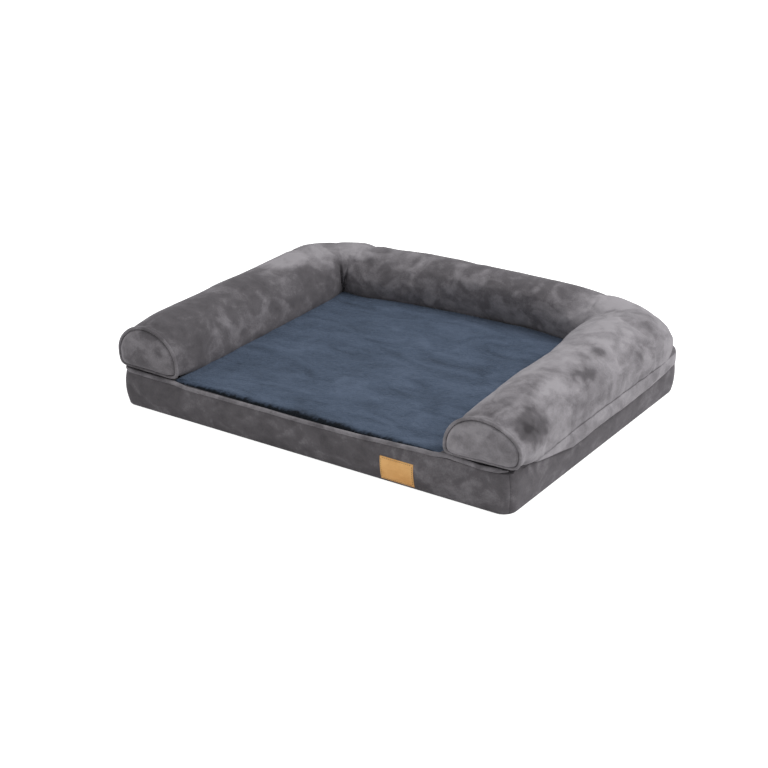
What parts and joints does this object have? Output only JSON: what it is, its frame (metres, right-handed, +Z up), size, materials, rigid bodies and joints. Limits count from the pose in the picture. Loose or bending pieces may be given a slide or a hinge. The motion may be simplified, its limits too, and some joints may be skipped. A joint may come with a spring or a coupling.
{
  "type": "dog bed",
  "caption": "Low dog bed with a foam tray, a U-shaped round bolster on three sides, a plush sleeping panel, piped end caps and a zipped cover.",
  "frame": {"origin": "middle of the footprint's box, on the floor", "axes": "+Z up, +Y to the back bolster, +X to the right seen from the open front"},
  "size_m": [1.0968, 0.834, 0.21],
  "materials": {
    "velvet": "short crushed velvet pile",
    "plush": "soft blue-grey plush",
    "lining": "plain woven",
    "bottom_cloth": "woven with grip dots",
    "foam": "open cell foam",
    "fibre": "loose polyester fibre",
    "zip_tape": "woven tape",
    "zip_coil": "moulded coil",
    "zip_metal": "dark satin",
    "label": "smooth tan, bare",
    "label_thread": "sewing thread"
  },
  "bodies": {
    "bed": {"foam_slab": "foam", "bottom_panel": "bottom_cloth", "front_band": "velvet", "left_band": "velvet", "right_band": "velvet", "back_band": "velvet", "sleep_panel": "plush", "bolster_lining": "lining", "front_piping": "velvet", "left_bolster_cover": "velvet", "right_bolster_cover": "velvet", "back_bolster_cover": "velvet", "left_bolster_fill": "fibre", "right_bolster_fill": "fibre", "back_bolster_fill": "fibre", "left_end_cap": "velvet", "right_end_cap": "velvet", "left_cap_piping": "velvet", "right_cap_piping": "velvet", "left_flap": "velvet", "right_flap": "velvet", "back_flap": "velvet", "upper_zip_tape": "zip_tape", "lower_zip_tape": "zip_tape", "upper_zip_coil": "zip_coil", "lower_zip_coil": "zip_coil", "zip_end_stops": "zip_metal", "label_patch": "label", "label_stitches": "label_thread"},
    "slider": {"zip_slider": "zip_metal"},
    "pull_tab": {"zip_pull_tab": "zip_metal"}
  },
  "joints": [
    {"name": "zip_slide", "type": "slide", "parent": "bed", "child": "slider", "axis": [0, 1, 0], "range_m": [0, 0.598], "deforming": ["left_flap"]},
    {"name": "tab_swing", "type": "hinge", "parent": "slider", "child": "pull_tab", "pos_m": [-0.5383, -0.2944, 0.082], "axis": [0, 1, 0], "range_deg": [0, 110]}
  ]
}
